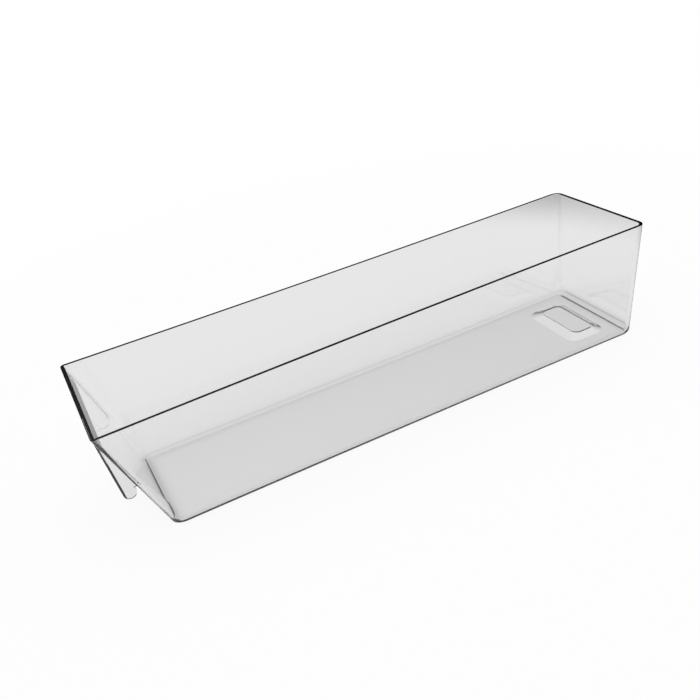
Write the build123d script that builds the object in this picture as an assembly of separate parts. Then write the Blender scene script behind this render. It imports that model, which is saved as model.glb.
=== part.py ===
from build123d import *
import math
import os

os.makedirs("parts", exist_ok=True)

# A long clear tray, moulded in one piece, with a finger pull at its front.
# It stands on Z = 0 and is centred on X = 0 and Y = 0. The pull faces -Y.
# All sizes are in millimetres.

# Tray, outside sizes
tray_length = 400.0
rim_width = 102.0
rim_height = 88.0
wall = 2.5

# How far each outside face has moved inwards at the floor
side_lean = 5.5
front_setback = 30.0
rear_setback = 7.0

# Outside radii of the tray
front_rim_corner_radius = 3.0
rear_rim_corner_radius = 6.5
floor_corner_radius = 10.0
floor_edge_radius = 5.0

# Finger pull, which hangs from the front lip, ends in a round foot and leaves the
# tray's upright corners free
flap_drop = 53.0
lip_setback = 0.6
flap_setback = 6.5
flap_wall = 1.5
end_wall = 1.5
foot_radius = 4.4
foot_wrap = 45.0
pull_corner_radius = 1.5
pull_inset = 3.0

# Raised pad on the floor near the rear, with the level run of each of its slopes
pad_width = 58.5
pad_depth = 31.0
pad_rise = 2.5
pad_side_run = 7.0
pad_front_run = 8.0
pad_rear_run = 5.5
pad_base_corner_radius = 8.0
pad_top_corner_radius = 5.0
pad_to_rear_rim = 21.0

# How far a cutting shape reaches past what it cuts
overcut = 5.0

# The least radius that the mould leaves in a corner
least_radius = 0.5

front_y = -tray_length / 2
rear_y = tray_length / 2
front_slope = front_setback / rim_height


def blend(at_floor, at_rim, height):
    """A size that changes evenly from the floor to the rim."""
    return at_floor + (at_rim - at_floor) * height / rim_height


def half_width_at(height):
    """Half the outside width of the tray at a height."""
    return blend(rim_width / 2 - side_lean, rim_width / 2, height)


def front_at(height):
    """Where the outside of the slanted front wall is at a height."""
    return blend(front_y + front_setback, front_y, height)


def rear_at(height):
    """Where the outside of the rear wall is at a height."""
    return blend(rear_y - rear_setback, rear_y, height)


def corners_at(height):
    """The outside radii of the upright corners at a height, front and rear."""
    return (
        blend(floor_corner_radius, front_rim_corner_radius, height),
        blend(floor_corner_radius, rear_rim_corner_radius, height),
    )


def flap_face_at(height):
    """Where the outer face of the pull's flap is at a height."""
    return front_y + lip_setback + flap_setback * (rim_height - height) / flap_drop


def drawn_in(radius, inset):
    """The radius of a corner after its outline is drawn in by the inset."""
    return max(radius - inset, least_radius)


def rounded_section(height, half_width, front, rear, radii):
    """A level rectangle from front to rear, with front and rear corner radii."""
    front_radius, rear_radius = radii
    middle = Plane((0, (front + rear) / 2, height))
    outline = Rectangle(2 * half_width, rear - front)
    outline = fillet(outline.vertices().sort_by(Axis.Y)[:2], front_radius)
    outline = fillet(outline.vertices().sort_by(Axis.Y)[-2:], rear_radius)
    return middle * outline


def trough(inset, bottom, top):
    """The tray's outline filled in, drawn in on all sides by the inset."""
    front_inset = inset * math.hypot(1, front_slope)
    sections = []
    for height in (bottom, top):
        sections.append(
            rounded_section(
                height,
                half_width_at(height) - inset,
                front_at(height) + front_inset,
                rear_at(height) - inset,
                [drawn_in(radius, inset) for radius in corners_at(height)],
            )
        )
    body = loft(sections, ruled=True)
    floor_edges = body.faces().sort_by(Axis.Z)[0].edges()
    return fillet(floor_edges, floor_edge_radius - inset)


def corner_wedge(end_at, inward):
    """Everything beyond the two mitres through the upright corners of one end.

    end_at gives that end's outside face at a height, and inward is 1 at the
    front and -1 at the rear.
    """
    reach = floor_corner_radius + overcut
    sections = []
    for height in (-overcut, rim_height + overcut):
        half = half_width_at(height)
        end = end_at(height)
        outer = end - inward * reach
        inner = end + inward * reach
        points = [
            (-half - reach, outer),
            (half + reach, outer),
            (half - reach, inner),
            (reach - half, inner),
        ]
        sections.append(Plane((0, 0, height)) * make_face(Polyline(*points, close=True)))
    return loft(sections, ruled=True)


def floor_wedge():
    """Everything under the mitres through the tray's rounded floor edges."""
    reach = floor_edge_radius
    front_turn = math.atan(front_slope)
    front_run = reach * math.tan(math.pi / 4 - front_turn / 2)
    sections = []
    for height, side_run, end_run in ((0, 0, 0), (reach, reach, front_run)):
        half = half_width_at(0) - side_run
        front = front_at(0) + end_run
        rear = rear_at(0) - side_run
        points = [(-half, front), (half, front), (half, rear), (-half, rear)]
        sections.append(Plane((0, 0, height)) * make_face(Polyline(*points, close=True)))
    return loft(sections, ruled=True)


def pad_outline(height, share, shifts=(0, 0, 0)):
    """The pad's outline: share 0 is its base and share 1 is its top.

    The shifts draw the outline in further at the sides, front and rear.
    """
    side, front, rear = shifts
    base = rear_y - pad_to_rear_rim
    radius = pad_base_corner_radius + (pad_top_corner_radius - pad_base_corner_radius) * share
    return rounded_section(
        height,
        pad_width / 2 - pad_side_run * share - side,
        base - pad_depth + pad_front_run * share + front,
        base - pad_rear_run * share - rear,
        (drawn_in(radius, front), drawn_in(radius, rear)),
    )


def pad_plug():
    """The upright plug that the pad takes out of the floor."""
    return extrude(pad_outline(0, 0), wall)


def slope_shift(run):
    """How far a slope's lower face lies inside its upper one, for an even wall."""
    slope = math.atan2(pad_rise, run)
    return wall * (1 - math.cos(slope)) / math.sin(slope)


def rear_pad():
    """The raised pad, hollow underneath, with sloped sides of even thickness."""
    shifts = [slope_shift(run) for run in (pad_side_run, pad_front_run, pad_rear_run)]
    hill = loft([pad_outline(wall, 0), pad_outline(wall + pad_rise, 1)], ruled=True)
    hollow = loft([pad_outline(0, 0, shifts), pad_outline(pad_rise, 1, shifts)], ruled=True)
    return pad_plug() + hill - hollow


def pull_side_profile():
    """The pull seen from the side: a wedge under the lip that ends in a round foot."""
    foot = rim_height - flap_drop
    lean = math.atan2(flap_setback, flap_drop)
    centre_height = foot + foot_radius
    centre_y = flap_face_at(centre_height) + foot_radius / math.cos(lean)

    def on_foot(angle):
        """A point of the round foot, at an angle measured up from +Y."""
        return (
            centre_y + foot_radius * math.cos(angle),
            centre_height + foot_radius * math.sin(angle),
        )

    toe = on_foot(math.pi + lean)
    heel = on_foot(math.radians(foot_wrap))
    lip = (flap_face_at(rim_height), rim_height)
    behind_lip = (front_at(heel[1]) + overcut, rim_height)
    behind_heel = (front_at(heel[1]) + overcut, heel[1])
    outline = [
        ThreePointArc(toe, on_foot(-math.pi / 2), heel),
        Polyline(heel, behind_heel, behind_lip, lip, toe),
    ]
    return Plane.YZ * make_face(outline)


def pull():
    """The whole pull: a flap with a rounded return at each end, open below."""
    foot = rim_height - flap_drop
    top = rim_height
    inner_radius = drawn_in(pull_corner_radius, flap_wall)
    shell_sections = []
    gap_sections = []
    for height in (foot - overcut, top):
        face = flap_face_at(height)
        back = front_at(0)
        half = half_width_at(height) - pull_inset
        shell_sections.append(
            rounded_section(height, half, face, back, (pull_corner_radius, pull_corner_radius))
        )
        gap_sections.append(
            rounded_section(
                height,
                half - end_wall,
                face + flap_wall,
                back + overcut,
                (inner_radius, inner_radius),
            )
        )
    shell = loft(shell_sections, ruled=True)
    gap = loft(gap_sections, ruled=True)
    side = extrude(pull_side_profile(), rim_width, both=True)
    return (shell & side) - gap - trough(0, 0, rim_height)


def between(shape, low, high):
    """The part of a shape whose X lies between two values."""
    slab = Box(high - low, tray_length, 2 * rim_height)
    return shape & Pos((low + high) / 2, front_y, rim_height) * slab


def save(shape, node):
    """Write one node, after checking that it is a single solid."""
    solids = shape.solids()
    assert len(solids) == 1, (node, len(solids))
    export_step(solids[0], "parts/" + node + ".step")


def main():
    hull = trough(0, 0, rim_height)
    hollow = trough(wall, wall, rim_height + overcut)
    moulding = hull - hollow

    floor = moulding & floor_wedge()
    ring = moulding - floor_wedge()
    front_wedge = corner_wedge(front_at, 1)
    rear_wedge = corner_wedge(rear_at, -1)
    sides = (ring - front_wedge - rear_wedge).solids().sort_by(Axis.X)

    save(floor - pad_plug(), "floor_panel")
    save(sides[0], "left_side_wall")
    save(sides[-1], "right_side_wall")
    save(ring & front_wedge, "front_wall")
    save(ring & rear_wedge, "rear_wall")
    save(rear_pad(), "rear_floor_pad")

    whole_pull = pull()
    flap_edge = half_width_at(rim_height - flap_drop) - pull_inset - pull_corner_radius
    save(between(whole_pull, -flap_edge, flap_edge), "pull_flap")
    save(between(whole_pull, -rim_width, -flap_edge), "pull_left_end")
    save(between(whole_pull, flap_edge, rim_width), "pull_right_end")


main()
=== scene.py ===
import bpy
import bmesh
import math
from mathutils import Matrix, Vector


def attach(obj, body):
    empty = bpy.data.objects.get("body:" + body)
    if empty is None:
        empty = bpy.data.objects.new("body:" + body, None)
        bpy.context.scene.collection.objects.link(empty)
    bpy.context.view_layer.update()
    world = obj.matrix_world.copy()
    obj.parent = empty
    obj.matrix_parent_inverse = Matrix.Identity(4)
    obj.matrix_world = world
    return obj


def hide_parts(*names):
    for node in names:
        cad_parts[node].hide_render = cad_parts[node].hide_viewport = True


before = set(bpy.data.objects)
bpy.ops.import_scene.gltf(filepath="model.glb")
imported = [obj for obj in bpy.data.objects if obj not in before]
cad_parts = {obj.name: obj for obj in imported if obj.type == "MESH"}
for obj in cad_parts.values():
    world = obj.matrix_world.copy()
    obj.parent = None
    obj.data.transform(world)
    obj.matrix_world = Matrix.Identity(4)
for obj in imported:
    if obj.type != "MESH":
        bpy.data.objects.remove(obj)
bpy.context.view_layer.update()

# Lengths are in millimetres, apart from those of the table, which are in metres.
MM = 0.001

# Tray, outside sizes, as the frame has them
tray_length = 400.0
rim_width = 102.0
rim_height = 88.0
wall = 2.5

# How far each outside face has moved inwards at the floor
side_lean = 5.5
front_setback = 30.0
rear_setback = 7.0

# Outside radii of the upright corners and of the long floor edges
front_rim_corner_radius = 3.0
rear_rim_corner_radius = 6.5
floor_corner_radius = 10.0
floor_edge_radius = 5.0

# At the two ends the mould leaves a sharper outer floor edge and a softer inner one
front_edge_radius = 2.0
front_inner_radius = 7.0
rear_edge_radius = 4.0
rear_inner_radius = 6.0

# How far the long walls bow inwards at mid length, at the rim and at the floor
bow_at_rim = 1.8
bow_at_floor = 1.4
# How far the rim's two low corners lie below the level of its middle
rim_twist = 1.5
# The small radius that the mould leaves on the rim's two edges
rim_edge_radius = 0.3

# Finger pull; foot_wrap is how far its round foot turns past level, in degrees
flap_drop = 53.0
lip_setback = 0.6
flap_setback = 6.5
flap_wall = 1.5
end_wall = 1.5
foot_radius = 4.4
foot_wrap = 45.0
pull_corner_radius = 1.5
pull_inset = 3.0

# Raised pad, with the level run of each of its slopes
pad_width = 58.5
pad_depth = 31.0
pad_rise = 2.5
pad_side_run = 7.0
pad_front_run = 8.0
pad_rear_run = 5.5
pad_base_corner_radius = 8.0
pad_top_corner_radius = 5.0
pad_to_rear_rim = 21.0
# The share of a slope over which its two edges are eased
pad_easing = 0.05

# Steps of one ring in a quarter corner, along a long side and along a short side
corner_steps = 10
long_steps = 32
short_steps = 10
# Steps from ring to ring round a floor edge, down a wall, round an edge of the rim and
# round an edge of the pad, and steps of the pull's round foot
floor_edge_steps = 9
wall_steps = 8
rim_steps = 3
pad_edge_steps = 5
foot_steps = 20
# How far the lowest level ring of a wall stays above the largest inner radius
ring_clearance = 1.0
# How far a cutting shape reaches past what it cuts
overcut = 5.0
# Points nearer to each other than this are merged
merge_distance = 0.001
# An edge that turns by less than this, in degrees, is smooth
smooth_angle = 30

# Clear plastic: its refraction, the tint and strength of its absorption, the scale and
# detail of its hazy patches, and the roughness at the two ends of a range of haze
plastic_ior = 1.57
absorption_tint = (0.5, 0.5, 0.53, 1)
absorption_density = 8.0
haze_scale = 14.0
haze_detail = 3.0
haze_range = (0.35, 0.7)
roughness_range = (0.004, 0.03)

# Table: its radius and sides, the air between it and the tray, and its grey
table_radius = 0.9
table_sides = 96
table_gap = 0.0002
table_grey = (0.85, 0.85, 0.85, 1)
# The camera sees a white glow there, with this share of the real, shaded grey, which
# fades out between two distances from the middle
shadow_share = 0.08
shadow_fade = (0.3, 0.7)
# Seen through the plastic or mirrored in it, this share of the table is a glow: a bright
# pool round the tray, whose edge lies between two distances, and less light beyond it
bent_share = 0.8
pool_light = 0.8
pool_edge = (0.3, 0.42)
beyond_pool = 0.28
# That glow is darker in a band on each side of the footprint's edge, and brighter inside
contact_reach = 0.012
contact_light = 0.85
light_under = 1.06

# Room, as the plastic sees it: its light low down and overhead, the heights on a unit
# sphere between which it grows, and the share of it that is left when it is mirrored
room_light = 0.04
overhead_light = 1.7
overhead_edge = (0.4, 0.9)
mirrored_share = 0.6

# Camera, as fitted to the photograph: where it stands, the azimuth and elevation of the
# line that runs back along its view and its roll, in degrees, its focal length and
# picture width, in pixels, and the width of its sensor
camera_place = (509.54, -204.083, 357.221)
camera_azimuth = 69.778
camera_elevation = 29.591
camera_roll = -10.98
focal_pixels = 898.451
picture_pixels = 700
sensor_width = 36

front_y = -tray_length / 2
rear_y = tray_length / 2
side_slope = side_lean / rim_height
front_slope = front_setback / rim_height
rear_slope = rear_setback / rim_height


# Outlines of the moulding

def half_width_at(height):
    """Half the outside width of the tray at a height."""
    return rim_width / 2 - side_slope * (rim_height - height)


def front_at(height):
    """Where the outside of the slanted front wall is at a height."""
    return front_y + front_slope * (rim_height - height)


def rear_at(height):
    """Where the outside of the rear wall is at a height."""
    return rear_y - rear_slope * (rim_height - height)


def corners_at(height):
    """The outside radii of the upright corners at a height, front and rear."""
    share = height / rim_height
    return [
        floor_corner_radius + (radius - floor_corner_radius) * share
        for radius in (front_rim_corner_radius, rear_rim_corner_radius)
    ]


def flap_face_at(height):
    """Where the outer face of the pull's flap is at a height."""
    return front_y + lip_setback + flap_setback * (rim_height - height) / flap_drop


def slope_shift(run):
    """How far a slope's lower face lies inside its upper one, for an even wall."""
    slope = math.atan2(pad_rise, run)
    return wall * (1 - math.cos(slope)) / math.sin(slope)


# Rings of points

def ring(extents, radii, shifts, heights):
    """One closed ring of points round the tray, counter-clockwise from above.

    extents are how far the outline reaches to the side, front and rear, and
    radii are its front and rear corner radii. shifts draw the ring in from
    that outline at the side, front and rear, round the same corner centres,
    and heights are its heights at the same three.
    """
    half, front, rear = extents
    front_radius, rear_radius = radii
    side_shift, front_shift, rear_shift = shifts
    side_z, front_z, rear_z = heights
    at_front = (front_radius, front + front_radius, front_shift - front_radius, front_z)
    at_rear = (rear_radius, rear - rear_radius, rear_radius - rear_shift, rear_z)
    quarters = (
        (1, at_front, -90),
        (1, at_rear, 0),
        (-1, at_rear, 90),
        (-1, at_front, 180),
    )
    arcs = []
    for sign, corner, start in quarters:
        radius, centre_y, reach_y, end_z = corner
        arc = []
        for step in range(corner_steps + 1):
            angle = math.radians(start + 90 * step / corner_steps)
            across = abs(math.cos(angle))
            along = abs(math.sin(angle))
            x = sign * (half - radius + (radius - side_shift) * across)
            y = centre_y + reach_y * along
            z = side_z * across ** 2 + end_z * along ** 2
            arc.append(Vector((x, y, z)))
        arcs.append(arc)
    points = []
    for index, arc in enumerate(arcs):
        steps = long_steps if index % 2 == 0 else short_steps
        following = arcs[(index + 1) % 4][0]
        points += arc
        for step in range(1, steps):
            points.append(arc[-1].lerp(following, step / steps))
    return points


def wall_ring(height, inset):
    """A level ring on a wall, inset from the outside."""
    extents = (half_width_at(height), front_at(height), rear_at(height))
    shifts = (inset, inset * math.hypot(1, front_slope), inset)
    return ring(extents, corners_at(height), shifts, (height, height, height))


def floor_edge_ring(share, inset):
    """A ring on the rounded floor edge: share 0 is at the wall, 1 is at the floor."""
    extents = []
    shifts = []
    heights = []
    sides = (
        (half_width_at, side_slope, floor_edge_radius, floor_edge_radius - wall),
        (front_at, front_slope, front_edge_radius, front_inner_radius),
        (rear_at, rear_slope, rear_edge_radius, rear_inner_radius),
    )
    for outline_at, slope, outer_radius, inner_radius in sides:
        radius = inner_radius if inset else outer_radius
        centre = inset + radius
        lean = math.atan(slope)
        angle = lean + share * (math.pi / 2 - lean)
        extents.append(outline_at(centre))
        shifts.append(centre / math.cos(lean) - radius * math.cos(angle))
        heights.append(centre - radius * math.sin(angle))
    return ring(extents, corners_at(floor_edge_radius), shifts, heights)


def pad_ring(share, height, lower):
    """A ring of the raised pad: share 0 is its base, 1 is its top; lower is its hollow."""
    base = rear_y - pad_to_rear_rim
    runs = (pad_side_run, pad_front_run, pad_rear_run)
    side, front, rear = [run * share for run in runs]
    shifts = [slope_shift(run) if lower else 0 for run in runs]
    radius = pad_base_corner_radius + (pad_top_corner_radius - pad_base_corner_radius) * share
    extents = (pad_width / 2 - side, base - pad_depth + front, base - rear)
    return ring(extents, (radius, radius), shifts, (height, height, height))


def pad_profile():
    """(share, rise) pairs up the pad's slope, with its two edges eased by parabolas."""
    around_edge = [
        pad_easing * (2 * step / pad_edge_steps - 1)
        for step in range(pad_edge_steps + 1)
    ]
    pairs = []
    for share in around_edge:
        pairs.append((share, pad_rise * (share + pad_easing) ** 2 / (4 * pad_easing)))
    for share in [1 + shift for shift in around_edge]:
        fall = (1 + pad_easing - share) ** 2 / (4 * pad_easing)
        pairs.append((share, pad_rise * (1 - fall)))
    return pairs


def wall_heights():
    """Heights of the level rings on the walls, from the rim down."""
    top = rim_height - rim_edge_radius
    bottom = wall + front_inner_radius + ring_clearance
    return [top + (bottom - top) * step / wall_steps for step in range(wall_steps + 1)]


def rim_rings():
    """Rings over the rim, from its inner face to its outer face."""
    inner = []
    outer = []
    for step in range(rim_steps + 1):
        angle = math.pi / 2 * step / rim_steps
        height = rim_height - rim_edge_radius * (1 - math.sin(angle))
        inset = rim_edge_radius * (1 - math.cos(angle))
        inner.append(wall_ring(height, wall - inset))
        outer.append(wall_ring(height, inset))
    return inner + outer[::-1]


def tray_rings():
    """All rings of the tray, from the top of the pad, over the rim, to its underside."""
    shares = [step / floor_edge_steps for step in range(floor_edge_steps + 1)]
    heights = wall_heights()[1:]
    rings = [pad_ring(share, wall + rise, False) for share, rise in reversed(pad_profile())]
    rings += [floor_edge_ring(share, wall) for share in reversed(shares)]
    rings += [wall_ring(height, wall) for height in reversed(heights)]
    rings += rim_rings()
    rings += [wall_ring(height, 0) for height in heights]
    rings += [floor_edge_ring(share, 0) for share in shares]
    rings += [pad_ring(share, rise, True) for share, rise in pad_profile()]
    return rings


# Meshes

def skin(name, rings):
    """A closed mesh through a list of rings, capped at both ends."""
    mesh = bpy.data.meshes.new(name)
    shape = bmesh.new()
    rows = []
    for points in rings:
        rows.append([shape.verts.new(point) for point in points])
    for upper, lower in zip(rows, rows[1:]):
        count = len(upper)
        for index in range(count):
            after = (index + 1) % count
            shape.faces.new((upper[index], lower[index], lower[after], upper[after]))
    shape.faces.new(rows[0])
    shape.faces.new(list(reversed(rows[-1])))
    bmesh.ops.recalc_face_normals(shape, faces=shape.faces)
    shape.to_mesh(mesh)
    shape.free()
    piece = bpy.data.objects.new(name, mesh)
    bpy.context.scene.collection.objects.link(piece)
    return piece


def combine(piece, other, operation):
    """Applies a boolean to a piece and removes the other one."""
    modifier = piece.modifiers.new(operation, "BOOLEAN")
    modifier.operation = operation
    modifier.solver = "EXACT"
    modifier.object = other
    depsgraph = bpy.context.evaluated_depsgraph_get()
    mesh = bpy.data.meshes.new_from_object(piece.evaluated_get(depsgraph))
    piece.modifiers.clear()
    piece.data = mesh
    bpy.data.objects.remove(other)


def filled_trough(inset):
    """The tray's outline filled in and drawn in by the inset, for trimming the pull."""
    heights = [rim_height + overcut, floor_edge_radius]
    return skin("trim", [wall_ring(height, inset) for height in heights])


def pull_block(name, side_inset, face_inset, low, high, reach):
    """A block with the pull's rounded front, inset from its sides and its face.

    reach is how far it goes behind the front wall's foot.
    """
    rings = []
    radius = max(pull_corner_radius - face_inset, rim_edge_radius)
    for height in (high, low):
        extents = (
            half_width_at(height) - side_inset,
            flap_face_at(height) + face_inset,
            front_at(0) + reach,
        )
        rings.append(ring(extents, (radius, radius), (0, 0, 0), (height, height, height)))
    return skin(name, rings)


def pull_side_prism():
    """The pull's side view as a prism along X: a wedge that ends in a round foot."""
    lean = math.atan2(flap_setback, flap_drop)
    centre_z = rim_height - flap_drop + foot_radius
    centre_y = flap_face_at(centre_z) + foot_radius / math.cos(lean)
    toe_angle = lean - math.pi
    heel_angle = math.radians(foot_wrap)
    top = rim_height - rim_edge_radius
    outline = [(flap_face_at(top), top)]
    for step in range(foot_steps + 1):
        angle = toe_angle + (heel_angle - toe_angle) * step / foot_steps
        outline.append((
            centre_y + foot_radius * math.cos(angle),
            centre_z + foot_radius * math.sin(angle),
        ))
    heel_z = outline[-1][1]
    behind = front_at(heel_z) + overcut
    outline.append((behind, heel_z))
    outline.append((behind, top))
    rings = []
    for x in (rim_width, -rim_width):
        rings.append([Vector((x, y, z)) for y, z in outline])
    return skin("pull_side", rings)


def make_pull():
    """The finger pull: a flap with a rounded return at each end, open below."""
    foot = rim_height - flap_drop
    top = rim_height - rim_edge_radius
    pull = pull_block("pull", pull_inset, 0, foot - overcut, top, 0)
    combine(pull, pull_side_prism(), "INTERSECT")
    gap_inset = pull_inset + end_wall
    gap_foot = foot - 2 * overcut
    gap = pull_block("gap", gap_inset, flap_wall, gap_foot, top + overcut, overcut)
    combine(pull, gap, "DIFFERENCE")
    combine(pull, filled_trough(wall / 2), "DIFFERENCE")
    return pull


def warp(piece):
    """Bows the long walls inwards and twists the rim, as the photograph shows them."""
    for vertex in piece.data.vertices:
        x, y, z = vertex.co
        up = max(z, 0) / rim_height
        along = 2 * y / tray_length
        across = 2 * x / rim_width
        bow = bow_at_floor + (bow_at_rim - bow_at_floor) * up
        vertex.co.x = x * (1 - bow / (rim_width / 2) * (1 - along ** 2))
        vertex.co.z = z - rim_twist * (1 - across * along) * up


def finish_mesh(piece):
    """Marks sharp edges, steadies the normals of flat faces and turns to metres."""
    shape = bmesh.new()
    shape.from_mesh(piece.data)
    bmesh.ops.remove_doubles(shape, verts=shape.verts, dist=merge_distance)
    for edge in shape.edges:
        if len(edge.link_faces) == 2:
            edge.smooth = edge.calc_face_angle() < math.radians(smooth_angle)
    for face in shape.faces:
        face.smooth = True
    bmesh.ops.scale(shape, vec=(MM, MM, MM), verts=shape.verts)
    shape.to_mesh(piece.data)
    shape.free()
    modifier = piece.modifiers.new("normals", "WEIGHTED_NORMAL")
    modifier.keep_sharp = True


# Shader nodes

def noise(tree, place, scale, detail):
    """A Noise node's value at a place."""
    node = tree.nodes.new("ShaderNodeTexNoise")
    node.inputs["Scale"].default_value = scale
    node.inputs["Detail"].default_value = detail
    tree.links.new(place, node.inputs["Vector"])
    return node.outputs["Fac"]


def remap(tree, value, old, new):
    """Maps a value from one range to another, smoothly and with its ends held."""
    node = tree.nodes.new("ShaderNodeMapRange")
    node.interpolation_type = "SMOOTHSTEP"
    node.inputs["From Min"].default_value = old[0]
    node.inputs["From Max"].default_value = old[1]
    node.inputs["To Min"].default_value = new[0]
    node.inputs["To Max"].default_value = new[1]
    tree.links.new(value, node.inputs["Value"])
    return node.outputs["Result"]


def calculate(tree, operation, *values):
    """A Math node; each value is another node's output or a number."""
    node = tree.nodes.new("ShaderNodeMath")
    node.operation = operation
    for socket, value in zip(node.inputs, values):
        if isinstance(value, (int, float)):
            socket.default_value = value
        else:
            tree.links.new(value, socket)
    return node.outputs["Value"]


def white_to_camera(tree, is_camera, others):
    """A strength of 1 for the camera's own rays, and another one for all other rays."""
    node = tree.nodes.new("ShaderNodeMix")
    node.data_type = "FLOAT"
    tree.links.new(is_camera, node.inputs["Factor"])
    tree.links.new(others, node.inputs["A"])
    node.inputs["B"].default_value = 1.0
    return node.outputs["Result"]


# Material of the tray

def clear_plastic():
    """Clear polished plastic with a faint grey tint, a little hazier in soft patches."""
    material = bpy.data.materials.new("clear_plastic")
    material.use_nodes = True
    tree = material.node_tree
    shader = tree.nodes["Principled BSDF"]
    shader.inputs["Base Color"].default_value = (1, 1, 1, 1)
    shader.inputs["Transmission Weight"].default_value = 1.0
    shader.inputs["IOR"].default_value = plastic_ior
    absorption = tree.nodes.new("ShaderNodeVolumeAbsorption")
    absorption.inputs["Color"].default_value = absorption_tint
    absorption.inputs["Density"].default_value = absorption_density
    tree.links.new(absorption.outputs["Volume"], tree.nodes["Material Output"].inputs["Volume"])
    place = tree.nodes.new("ShaderNodeTexCoord").outputs["Object"]
    haze = noise(tree, place, haze_scale, haze_detail)
    roughness = remap(tree, haze, haze_range, roughness_range)
    tree.links.new(roughness, shader.inputs["Roughness"])
    return material


# Setting

def contact_shade(tree, place):
    """How the table's glow changes along the edge of the tray's footprint and inside it."""
    middle = (front_at(0) + rear_at(0)) / 2 * MM
    half_length = (rear_at(0) - front_at(0)) / 2 * MM
    half_width = half_width_at(0) * MM
    split = tree.nodes.new("ShaderNodeSeparateXYZ")
    tree.links.new(place, split.inputs[0])
    across = calculate(tree, "ABSOLUTE", split.outputs["X"])
    from_middle = calculate(tree, "SUBTRACT", split.outputs["Y"], middle)
    along = calculate(tree, "ABSOLUTE", from_middle)
    beside = calculate(tree, "SUBTRACT", across, half_width)
    beyond = calculate(tree, "SUBTRACT", along, half_length)
    outside = calculate(tree, "MAXIMUM", beside, beyond)
    away = calculate(tree, "ABSOLUTE", outside)
    contact = remap(tree, away, (0, contact_reach), (contact_light, 1))
    under = remap(tree, outside, (-contact_reach, 0), (light_under, 1))
    return calculate(tree, "MULTIPLY", contact, under)


def table_material():
    """A pale matt surface with a glow: white to the camera, a pool of light otherwise."""
    material = bpy.data.materials.new("floor")
    material.use_nodes = True
    tree = material.node_tree
    tree.nodes.remove(tree.nodes["Principled BSDF"])
    diffuse = tree.nodes.new("ShaderNodeBsdfDiffuse")
    diffuse.inputs["Color"].default_value = table_grey
    glow = tree.nodes.new("ShaderNodeEmission")

    place = tree.nodes.new("ShaderNodeTexCoord").outputs["Object"]
    length = tree.nodes.new("ShaderNodeVectorMath")
    length.operation = "LENGTH"
    tree.links.new(place, length.inputs[0])
    distance = length.outputs["Value"]
    path = tree.nodes.new("ShaderNodeLightPath")
    is_camera = path.outputs["Is Camera Ray"]
    is_glossy = path.outputs["Is Glossy Ray"]
    is_transmission = path.outputs["Is Transmission Ray"]

    pool = remap(tree, distance, pool_edge, (pool_light, beyond_pool))
    lit = calculate(tree, "MULTIPLY", pool, contact_shade(tree, place))
    strength = white_to_camera(tree, is_camera, lit)
    tree.links.new(strength, glow.inputs["Strength"])

    far = remap(tree, distance, shadow_fade, (0, 1))
    near = calculate(tree, "SUBTRACT", 1, far)
    shadow = calculate(tree, "MULTIPLY", near, shadow_share)
    unshaded = calculate(tree, "SUBTRACT", 1, shadow)
    straight = calculate(tree, "MULTIPLY", is_camera, unshaded)
    is_bent = calculate(tree, "MAXIMUM", is_glossy, is_transmission)
    bent = calculate(tree, "MULTIPLY", is_bent, bent_share)
    glow_share = calculate(tree, "MAXIMUM", straight, bent)
    mix = tree.nodes.new("ShaderNodeMixShader")
    tree.links.new(glow_share, mix.inputs["Fac"])
    tree.links.new(diffuse.outputs[0], mix.inputs[1])
    tree.links.new(glow.outputs[0], mix.inputs[2])
    tree.links.new(mix.outputs[0], tree.nodes["Material Output"].inputs["Surface"])
    return material


def make_floor():
    """The round table top that the tray stands on."""
    mesh = bpy.data.meshes.new("floor")
    shape = bmesh.new()
    bmesh.ops.create_circle(shape, cap_ends=True, segments=table_sides, radius=table_radius)
    shape.to_mesh(mesh)
    shape.free()
    floor = bpy.data.objects.new("floor", mesh)
    floor.location.z = -table_gap
    bpy.context.scene.collection.objects.link(floor)
    floor.data.materials.append(table_material())


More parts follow.
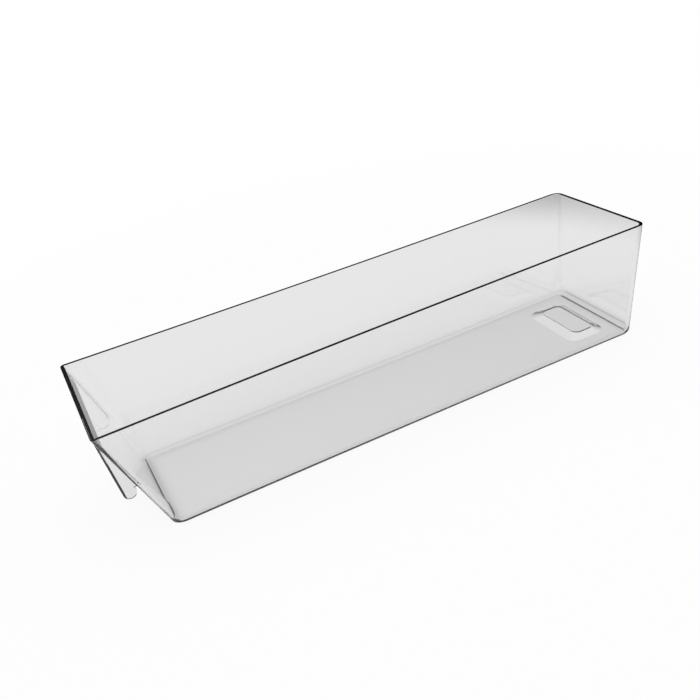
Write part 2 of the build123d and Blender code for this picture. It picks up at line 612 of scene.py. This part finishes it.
def make_world():
    """White to the camera; to the plastic, a dim room with a broad light overhead."""
    world = bpy.data.worlds.new("studio")
    bpy.context.scene.world = world
    world.use_nodes = True
    tree = world.node_tree
    background = tree.nodes["Background"]
    background.inputs["Color"].default_value = (1, 1, 1, 1)
    direction = tree.nodes.new("ShaderNodeTexCoord").outputs["Generated"]
    split = tree.nodes.new("ShaderNodeSeparateXYZ")
    tree.links.new(direction, split.inputs[0])
    room = remap(tree, split.outputs["Z"], overhead_edge, (room_light, overhead_light))
    path = tree.nodes.new("ShaderNodeLightPath")
    loss = calculate(tree, "MULTIPLY", path.outputs["Is Glossy Ray"], 1 - mirrored_share)
    kept = calculate(tree, "SUBTRACT", 1, loss)
    seen = calculate(tree, "MULTIPLY", room, kept)
    strength = white_to_camera(tree, path.outputs["Is Camera Ray"], seen)
    tree.links.new(strength, background.inputs["Strength"])


def make_camera():
    """The camera of the photograph."""
    azimuth = math.radians(camera_azimuth)
    elevation = math.radians(camera_elevation)
    roll = math.radians(camera_roll)
    back = Vector((
        math.sin(azimuth) * math.cos(elevation),
        -math.cos(azimuth) * math.cos(elevation),
        math.sin(elevation),
    ))
    right = (-back).cross(Vector((0, 0, 1))).normalized()
    up = right.cross(-back)
    rolled_right = right * math.cos(roll) + up * math.sin(roll)
    rolled_up = up * math.cos(roll) - right * math.sin(roll)
    turn = Matrix((rolled_right, rolled_up, back)).transposed()
    data = bpy.data.cameras.new("camera")
    data.sensor_width = sensor_width
    data.lens = sensor_width * focal_pixels / picture_pixels
    camera = bpy.data.objects.new("camera", data)
    camera.matrix_world = Matrix.Translation(Vector(camera_place) * MM) @ turn.to_4x4()
    bpy.context.scene.collection.objects.link(camera)
    bpy.context.scene.camera = camera


make_camera()
make_world()
make_floor()

tray = skin("tray", tray_rings())
combine(tray, make_pull(), "UNION")
warp(tray)
finish_mesh(tray)
tray.data.materials.append(clear_plastic())
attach(tray, "root")
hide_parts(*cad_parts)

bpy.context.scene.view_settings.view_transform = "Standard"
